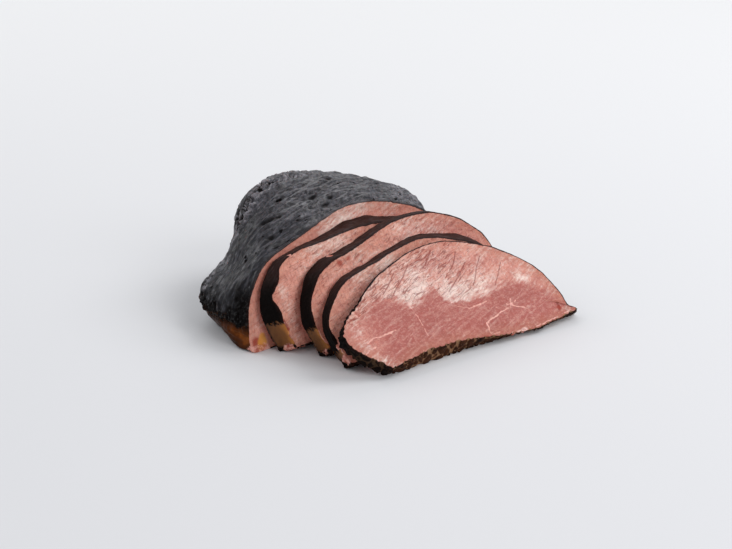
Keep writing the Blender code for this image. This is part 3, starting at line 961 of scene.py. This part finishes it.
def cured_meat(name, finish, look):
    """Smoked rind, amber membrane, fat and cured meat, told apart by the painted values.

    The rind's edge wanders with noise. Under it the meat is browner for a few millimetres.
    The meat has large pale and deep zones, fine mottling, slanting fibres and dark strokes,
    whitish grains of dried fibres and painted sheen, creases, thin fat seams, and bloody, golden
    and torn places. The rind has a dust-grey tone, painted lighter higher up as painted top
    light and darker low down as soot and painted shade; streaks and pits, darkened in their
    hollows as painted shade; darker pebble borders and dents, also painted shade; crests
    lightened as painted highlights; windows of membrane that glow where they are thin; and
    blocks of dried crust underneath. look is the rind's kind.
    """
    r = Recipe(name)
    here = r.painted("section", "Vector")
    spot = r.node("ShaderNodeTexCoord", {}, "Object")
    edge, bloom, membrane, foot, gaps, torn = (
        r.painted(label) for label in ("depth", "bloom", "membrane", "foot", "gaps", "torn"))
    tawny_and_painted_light, sheen, wrinkled, crease, blood, golden = (
        r.painted(label)
        for label in ("tawny_and_painted_light", "sheen", "wrinkled", "crease", "blood", "golden"))

    ragged = r.noise(spot, 1.6, 4.0, 0.65)
    grit = r.noise(spot, 0.6, 3.0)
    wander = r.noise(spot, 7.0, 2.0)
    bent = r.shifted(here, r.noise(here, 9.0, 2.0, output="Color"), 1.6 * MM)

    # Where the rind is: outside a line that wanders about 0.8 mm in from the cut edge.
    crust = 0.40 + 0.8 * wander + 0.6 * (ragged - 0.5)
    rind = r.step(edge - crust, 0.14, -0.14)
    torn_here = r.step(torn + 0.9 * (ragged - 0.5), 0.42, 0.58)
    rind = rind * (1.0 - torn_here)
    film = membrane + 0.4 * (ragged - 0.5)
    bare = r.step(film, 0.24, 0.40) * rind

    # Meat.
    zones = r.noise(bent, (22.0, 12.0, 22.0), 2.0)
    mottle = r.noise(bent, (2.6, 1.8, 2.6), 5.0, 0.68)
    fibre = r.noise(bent, (0.9, 3.8, 0.9), 3.0, 0.6)
    slant = r.noise(bent, (14.0, 1.7, 14.0), 2.0, 0.6, turn=SLANT)
    speckle = r.noise(bent, (0.9, 0.6, 0.9), 3.0, 0.6)
    inner = r.step(edge, 1.0, 4.0)
    grain = r.noise(bent, (2.2, 0.9, 1.3), 4.0, 0.7, turn=SLANT)
    # Whitish grains where the sheen values are high: pale dried fibres, and painted sheen.
    dry_and_sheen = r.step(sheen + 1.9 * (grain - 0.5) + 1.1 * (slant - 0.5), 0.22, 1.45)
    dry_and_sheen = dry_and_sheen * r.step(sheen, 0.0, 0.15)
    broken = r.step(r.noise(here, 3.6, 2.0) + 0.5 * (wrinkled - 0.5), 0.46, 0.64)
    dark = (r.strokes(bent, (15.0, 1.7, 8.0), 0.040, SLANT)
            + 0.45 * r.strokes(bent, (5.0, 2.1, 6.0), 0.030, SLANT + 48.0)) * broken
    dark = r.maths("MAXIMUM", r.maths("MULTIPLY", dark * wrinkled, 1.1, clamp=True),
                   0.95 * r.step(crease + 2.2 * (ragged - 0.5), 1.25, 0.2))
    flecks = r.step(r.noise(bent, (0.9, 0.7, 0.9), 2.0), 0.66, 0.74)
    off_line = r.shifted(r.painted("fat", "Vector"), r.noise(here, 3.6, 2.0, output="Color"),
                         2.0)
    fat_gap = r.node("ShaderNodeVectorMath", {0: off_line}, 1, operation="LENGTH")
    seam = r.step(fat_gap + 1.8 * (ragged - 0.5), 1.25, 0.3)
    bloody = r.step(blood + 0.5 * (ragged - 0.5), 0.25, 0.75)
    gold = r.step(golden + 0.4 * (ragged - 0.5), 0.25, 0.85)
    shreds = r.blend(r.step(ragged, 0.40, 0.62), finish.blood, finish.fat)
    meat = r.layered(
        finish.meat,
        (tawny_and_painted_light * (0.16 + 1.5 * r.noise(bent, (15.0, 7.0, 15.0), 3.0)), finish.meat_tawny),
        (r.step(zones, 0.60, 0.34) * (0.85 - 0.6 * tawny_and_painted_light), finish.meat_deep),
        (0.45 * r.step(mottle, 0.44, 0.70), finish.meat_pale),
        (0.40 * r.step(fibre, 0.56, 0.36), finish.meat_deep),
        (0.26 * r.step(slant, 0.48, 0.68), finish.meat_pale),
        (0.22 * r.step(slant, 0.50, 0.32), finish.meat_deep),
        ((0.2 + 0.18 * inner) * r.step(speckle, 0.54, 0.68), finish.meat_pale),
        ((0.1 + 0.3 * inner) * r.step(speckle, 0.46, 0.32), finish.meat_deep),
        (r.step(edge, 9.0, 0.5) * (0.14 + 0.40 * wander), finish.smoke_tint),
        (0.76 * dry_and_sheen, finish.meat_dry_and_sheen),
        (0.78 * dark, finish.fibre_dark),
        (0.4 * flecks, finish.fat),
        (seam * (0.55 + 0.6 * r.step(wander, 0.35, 0.6)), finish.fat),
        (0.75 * bloody, finish.blood),
        (0.90 * gold, finish.golden),
        (0.6 * torn_here, shreds))

    # Rind: painted lighter higher up, as painted top light, over soot and painted shade;
    # streaked round the roast and pitted, with painted shade in the grooves and pits and painted
    # highlights on its crests; then membrane where the crust is missing, and blocks of dried
    # crust underneath.
    smoke = r.noise(spot, (14.0, 7.0, 14.0), 4.0, 0.6)
    streak = r.noise(spot, (6.5, 1.4, 6.5), 4.0, 0.62)
    pitted = r.cells(r.shifted(spot, r.noise(spot, 5.0, 2.0, output="Color"), 2.2 * MM),
                     (7.5, 3.4, 7.5), "F1")
    # The pits and the grooves between raised streaks are darkened as painted shade; the raised
    # streaks and the places that the sheen values mark are lightened as painted highlights.
    pit = r.step(pitted + 0.7 * (wander - 0.5), 0.19, 0.06) * look.streaks
    groove_shade = 1.0 - look.streaks * 0.62 * r.step(streak, 0.54, 0.38)
    dust_and_top_light = bloom * (0.66 + 0.34 * r.step(smoke, 0.36, 0.62)) * groove_shade * (1.0 - 0.95 * pit)
    crests = bloom * look.streaks * (0.36 * r.step(streak, 0.50, 0.68)
                                     + sheen * (0.2 + 0.95 * r.step(ragged, 0.44, 0.58)))
    ripe = r.step(membrane + 0.7 * (r.noise(spot, (3.0, 3.0, 9.0)) - 0.5), 0.40, 1.15)
    glow = r.step(membrane + 0.8 * (r.noise(spot, 4.0, 3.0) - 0.5), 1.15, 1.85)
    amber = r.layered(finish.membrane_deep, (ripe, look.film), (glow, look.thin_film))
    fringe = r.step(membrane, 0.02, 0.15) * r.step(film, 0.36, 0.24) * r.step(grit, 0.5, 0.62)
    block = r.layered(
        finish.foot_dark,
        (r.step(smoke, 0.40, 0.65), finish.foot_brown),
        (r.step(gaps + 0.7 * (ragged - 0.5), 0.45, 0.95), finish.foot_gap),
        (r.step(speckle, 0.60, 0.72), finish.foot_gap))
    skin = r.layered(
        finish.rind_dark,
        (dust_and_top_light, look.bloomed),
        (crests * (1.0 - pit), finish.rind_highlight),
        # darker in the pebble borders and dents: painted shade
        (0.85 * gaps, finish.rind_dark),
        (0.25 * r.step(ragged, 0.60, 0.78), finish.rind_brown),
        (r.step(edge, -1.2, 0.3) * (0.35 + 0.5 * ragged), finish.rind_brown),
        (bare, amber),
        ((0.15 + look.film_gloss) * fringe, look.thin_film),
        (foot * (1.0 - bare), block))
    colour = r.blend(rind, meat, skin)

    # Relief, in metres.
    fine = r.noise(spot, (2.4, 0.9, 2.4), 5.0, 0.62)
    bubbly = look.bubbles * (1.0 - bloom) * (1.0 - bare)
    rind_relief = look.wrinkle * (0.8 * fine + 0.6 * streak + 0.35 * grit - 0.9 * pit)
    rind_relief = rind_relief * (1.0 - 0.85 * bare)
    rind_relief = rind_relief + 0.55 * MM * bubbly * r.step(r.cells(spot, 2.1), 0.0, 0.4)
    meat_relief = 0.24 * MM * mottle + 0.12 * MM * fibre - 0.10 * MM * dark
    meat_relief = meat_relief + 0.10 * MM * seam + 0.16 * MM * grain
    relief = rind_relief * rind + meat_relief * (1.0 - rind) + 0.22 * MM * rind
    bump = r.node("ShaderNodeBump", {"Strength": 1.0, "Distance": 1.0, "Height": relief})

    rind_rough = 0.55 + 0.22 * ragged + 0.12 * gaps
    meat_rough = 0.56 - 0.20 * mottle
    rough = rind_rough * rind + meat_rough * (1.0 - rind) - 0.25 * bare
    gloss = look.gloss * bloom * (1.0 - 0.8 * gaps) * (1.0 - pit)
    gloss = gloss + 0.6 * bubbly * r.step(ragged, 0.50, 0.66)
    wet = 0.10 + 0.70 * dry_and_sheen + 0.25 * flecks + 0.8 * gold
    coat = gloss * rind * (1.0 - bare) + look.film_gloss * bare + wet * (1.0 - rind)

    r.surface({"Base Color": colour, "Roughness": rough, "Normal": bump,
               "Coat Weight": r.maths("MULTIPLY", coat, 1.0, clamp=True), **MEAT_SURFACE})
    r.material.diffuse_color = (*finish.meat, 1.0)
    return r.material


def paper(name, near, far, away):
    """The floor: matt and pale, with painted light that makes it paler further off in the
    direction away.
    """
    r = Recipe(name)
    spot = r.node("ShaderNodeTexCoord", {}, "Object")
    off = r.node("ShaderNodeVectorMath", {0: spot, 1: away}, 1, operation="DOT_PRODUCT")
    r.surface({"Base Color": r.blend(r.step(off, *FLOOR_FADE), near, far), "Roughness": 0.7,
               "Specular IOR Level": 0.2})
    return r.material


# ---------------------------------------------------------------- settings

def length_property(name, description, default):
    """A length in metres that the panel shows in the scene's units."""
    return FloatProperty(name=name, description=description, default=default, unit="LENGTH",
                         subtype="DISTANCE", min=0.0, precision=5)


def colour_property(name, description, default):
    """A colour, as linear red, green and blue."""
    return FloatVectorProperty(name=name, description=description, default=default,
                               subtype="COLOR", size=3, min=0.0, max=1.0)


def power_property(name, description, default):
    """A light's power in watts."""
    return FloatProperty(name=name, description=description, default=default, min=0.0,
                         unit="POWER")


def share_property(name, description, default):
    """A share, from 0 to 1."""
    return FloatProperty(name=name, description=description, default=default, min=0.0,
                         max=1.0, subtype="FACTOR")


def angle_property(name, description, degrees):
    """An angle, with its default given in degrees."""
    return FloatProperty(name=name, description=description, default=math.radians(degrees),
                         unit="ROTATION", subtype="ANGLE")


class RoastShape(bpy.types.PropertyGroup):
    """How uneven the roast is."""

    wrinkle_depth: length_property("Wrinkles", "Height of the wrinkles in the rind", 0.00034)
    pebble_depth: length_property("Pebbles", "Height of the pebbles beyond the ridge", 0.00075)
    ridge_height: length_property("Ridge", "Height of the ridge from the near tip", 0.0014)
    dent_depth: length_property("Dents", "Depth of a full dent in the rind", 0.001)
    rim_roughness: length_property("Rim", "Unevenness of the slices' rims", 0.00018)
    knife_wave: length_property("Knife waves", "Height of the waves on cut faces", 0.00028)


class RoastFinish(bpy.types.PropertyGroup):
    """The colours of rind, membrane, fat and meat."""

    # The rind where it is painted lighter higher up, as painted top light.
    rind: colour_property("Rind", "Dried bloom on the rind", (0.030, 0.0295, 0.037))
    # Painted highlights on the rind's crests.
    rind_highlight: colour_property("Silver rind", "Crests of the rind", (0.222, 0.21, 0.234))
    # The slices' rims where painted lighter towards the top, as painted top light.
    rim: colour_property("Rim", "Bloom on the slices' rims", (0.040, 0.014, 0.011))
    # Sooty rind; in the hollows it serves as painted shade.
    rind_dark: colour_property("Soot", "Sooty rind and hollows", (0.0035, 0.0024, 0.0022))
    rind_brown: colour_property("Rind brown", "Rind at cut edges", (0.016, 0.006, 0.005))
    membrane: colour_property("Membrane", "Bare membrane", (0.165, 0.058, 0.010))
    membrane_deep: colour_property("Deep membrane", "Darker membrane", (0.030, 0.007, 0.001))
    membrane_bright: colour_property("Bright membrane", "Thin membrane", (0.46, 0.165, 0.03))
    foot_dark: colour_property("Foot", "Dried underside", (0.013, 0.005, 0.0035))
    foot_brown: colour_property("Brown foot", "Browner underside", (0.060, 0.020, 0.009))
    foot_gap: colour_property("Foot gaps", "Between the foot's blocks", (0.28, 0.150, 0.082))
    foot_film: colour_property("Foot film", "Film on the roast's foot", (0.085, 0.021, 0.003))
    foot_glow: colour_property("Foot glow", "Thin film there", (0.36, 0.100, 0.014))
    golden: colour_property("Golden fat", "Glassy golden fat", (0.72, 0.30, 0.05))
    meat: colour_property("Meat", "Rosy cured meat", (0.43, 0.124, 0.106))
    meat_tawny: colour_property("Tawny meat", "Tawny cured meat", (0.83, 0.385, 0.295))
    meat_deep: colour_property("Deep meat", "Darker meat", (0.40, 0.118, 0.100))
    meat_pale: colour_property("Pale meat", "Paler fibres", (0.72, 0.410, 0.345))
    # Whitish dried fibres, and painted sheen, on the meat.
    meat_dry_and_sheen: colour_property("Sheen on meat", "Dry fibres", (0.93, 0.79, 0.71))
    smoke_tint: colour_property("Smoke ring", "Meat under the rind", (0.46, 0.185, 0.115))
    fibre_dark: colour_property("Fibre borders", "Borders of fibres", (0.24, 0.048, 0.038))
    fat: colour_property("Fat", "Fat seams", (0.87, 0.47, 0.40))
    blood: colour_property("Blood", "Bloody places", (0.34, 0.040, 0.022))
    rind_gloss: share_property("Rind gloss", "Sheen of the rind", 0.55)
    rim_gloss: share_property("Rim gloss", "Sheen of the slices' rims", 0.08)


class RoastStudio(bpy.types.PropertyGroup):
    """The floor, the lights and the camera."""

    # The floor is painted darker near the camera and paler beyond the roast, as painted light.
    floor: colour_property("Floor", "The floor near the camera", (0.74, 0.745, 0.77))
    floor_far: colour_property("Far floor", "The floor beyond the roast", (0.95, 0.955, 0.965))
    aim: FloatVectorProperty(name="Aim", description="The point that the camera looks at",
                             default=(0.0335, 0.0397, 0.0), size=3, unit="LENGTH",
                             subtype="TRANSLATION")
    azimuth: angle_property("Azimuth", "The camera's turn round the roast", -39.0)
    elevation: angle_property("Elevation", "The camera's height as an angle", 20.44)
    distance: length_property("Distance", "From the camera to its aim", 0.920)
    world_light: FloatProperty(name="Room light", description="Light from all round",
                               default=0.45, min=0.0)
    key_power: power_property("Key power", "Power of the large soft light", 9.0)
    back_power: power_property("Back power", "Power of the back light", 6.0)
    front_power: power_property("Front power", "Power of the front light", 8.3)
    far_power: power_property("Far power", "Power of the light far behind", 9.0)


# ---------------------------------------------------------------- operators

class ROAST_OT_uncut_piece(bpy.types.Operator):
    """Make the uncut piece with its smoked rind and its cut face"""

    bl_idname = "roast.add_uncut_piece"
    bl_label = "Uncut piece"

    def execute(self, context):
        scene = context.scene
        finish = scene.roast_finish
        material = cured_meat("smoked_rind", finish, Rind(
            finish.rind, finish.foot_film, finish.foot_glow, finish.rind_gloss,
            wrinkle=0.62 * MM, streaks=1.0, bubbles=1.0, film_gloss=0.05))
        make_uncut(scene.roast_shape, material)
        return {"FINISHED"}


class ROAST_OT_slices(bpy.types.Operator):
    """Make the four carved slices that lean on the uncut piece and on one another"""

    bl_idname = "roast.add_slices"
    bl_label = "Carved slices"

    def execute(self, context):
        scene = context.scene
        finish = scene.roast_finish
        material = cured_meat("carved_venison", finish, Rind(
            finish.rim, finish.membrane, finish.membrane_bright, finish.rim_gloss,
            wrinkle=0.20 * MM, streaks=0.3, bubbles=0.08, film_gloss=0.45))
        for number, (cut, rests) in enumerate(zip(SLICES, resting_places()), start=1):
            make_slice(number, cut, rests, scene.roast_shape, material)
        return {"FINISHED"}


FLOOR_HALF = 4.0            # metres from the floor's middle to its sides
FLOOR_FADE = (-0.35, 1.3)   # metres from the roast over which painted light turns the floor paler
ROOM_COLOUR = (0.97, 0.98, 1.0, 1.0)
LENS, SENSOR = 85.0, 36.0   # millimetres
CLIP = (0.02, 20.0)         # metres between which the camera sees

# Name, direction from the roast, distance, width and height of each soft light.
LIGHTS = (
    ("key_light", (0.59, -0.35, 0.73), 1.5, 0.9, 0.9),
    ("back_light", (-0.45, 0.66, 0.60), 1.7, 1.0, 0.6),
    ("front_light", (0.05, -0.86, 0.50), 1.7, 0.9, 0.7),
    ("far_light", (0.52, 0.66, 0.54), 2.3, 1.8, 0.9),
)


def soft_light(name, direction, distance, width, height, power):
    """A rectangular light that faces the roast."""
    lamp = bpy.data.lights.new(name, "AREA")
    lamp.shape = "RECTANGLE"
    lamp.size, lamp.size_y = width, height
    lamp.energy = power
    light = bpy.data.objects.new(name, lamp)
    bpy.context.scene.collection.objects.link(light)
    towards = Vector(direction).normalized()
    light.location = towards * distance
    light.rotation_mode = "QUATERNION"
    light.rotation_quaternion = towards.to_track_quat("Z", "Y")


class ROAST_OT_stage(bpy.types.Operator):
    """Make the pale floor, the soft lights and the camera"""

    bl_idname = "roast.add_stage"
    bl_label = "Stage"

    def execute(self, context):
        scene, studio = context.scene, context.scene.roast_studio
        corners = [(x * FLOOR_HALF, y * FLOOR_HALF, 0.0)
                   for x, y in ((-1, -1), (1, -1), (1, 1), (-1, 1))]
        mesh = bpy.data.meshes.new("floor")
        mesh.from_pydata(corners, [], [(0, 1, 2, 3)])
        away = (-math.sin(studio.azimuth), math.cos(studio.azimuth), 0.0)
        mesh.materials.append(paper("pale_floor", studio.floor, studio.floor_far, away))
        floor = bpy.data.objects.new("floor", mesh)
        scene.collection.objects.link(floor)

        world = bpy.data.worlds.new("room")
        world.use_nodes = True
        background = world.node_tree.nodes["Background"].inputs
        background["Color"].default_value = ROOM_COLOUR
        background["Strength"].default_value = studio.world_light
        scene.world = world
        powers = studio.key_power, studio.back_power, studio.front_power, studio.far_power
        for light, power in zip(LIGHTS, powers):
            soft_light(*light, power)

        lens = bpy.data.cameras.new("camera")
        lens.lens, lens.sensor_width = LENS, SENSOR
        lens.clip_start, lens.clip_end = CLIP
        camera = bpy.data.objects.new("camera", lens)
        scene.collection.objects.link(camera)
        turn, rise = studio.azimuth, studio.elevation
        back = Vector((math.sin(turn) * math.cos(rise), -math.cos(turn) * math.cos(rise),
                       math.sin(rise)))
        camera.location = Vector(studio.aim) + back * studio.distance
        camera.rotation_mode = "QUATERNION"
        camera.rotation_quaternion = (-back).to_track_quat("-Z", "Y")
        scene.camera = camera
        scene.view_settings.view_transform = "Standard"
        return {"FINISHED"}


class ROAST_PT_panel(bpy.types.Panel):
    """Lists the pieces and their settings"""

    bl_idname = "ROAST_PT_panel"
    bl_label = "Smoked venison roast"
    bl_space_type = "VIEW_3D"
    bl_region_type = "UI"
    bl_category = "Roast"

    def draw(self, context):
        scene = context.scene
        for operator in OPERATORS:
            self.layout.operator(operator.bl_idname)
        for settings in (scene.roast_shape, scene.roast_finish, scene.roast_studio):
            box = self.layout.box()
            for name in settings.__annotations__:
                box.prop(settings, name)


OPERATORS = (ROAST_OT_uncut_piece, ROAST_OT_slices, ROAST_OT_stage)
CLASSES = (RoastShape, RoastFinish, RoastStudio, *OPERATORS, ROAST_PT_panel)


def register():
    for one in CLASSES:
        bpy.utils.register_class(one)
    bpy.types.Scene.roast_shape = PointerProperty(type=RoastShape)
    bpy.types.Scene.roast_finish = PointerProperty(type=RoastFinish)
    bpy.types.Scene.roast_studio = PointerProperty(type=RoastStudio)


def unregister():
    del bpy.types.Scene.roast_studio
    del bpy.types.Scene.roast_finish
    del bpy.types.Scene.roast_shape
    for one in reversed(CLASSES):
        bpy.utils.unregister_class(one)


def main():
    """Registers the classes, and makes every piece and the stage."""
    register()
    bpy.ops.roast.add_uncut_piece()
    bpy.ops.roast.add_slices()
    bpy.ops.roast.add_stage()


if __name__ == "__main__":
    main()
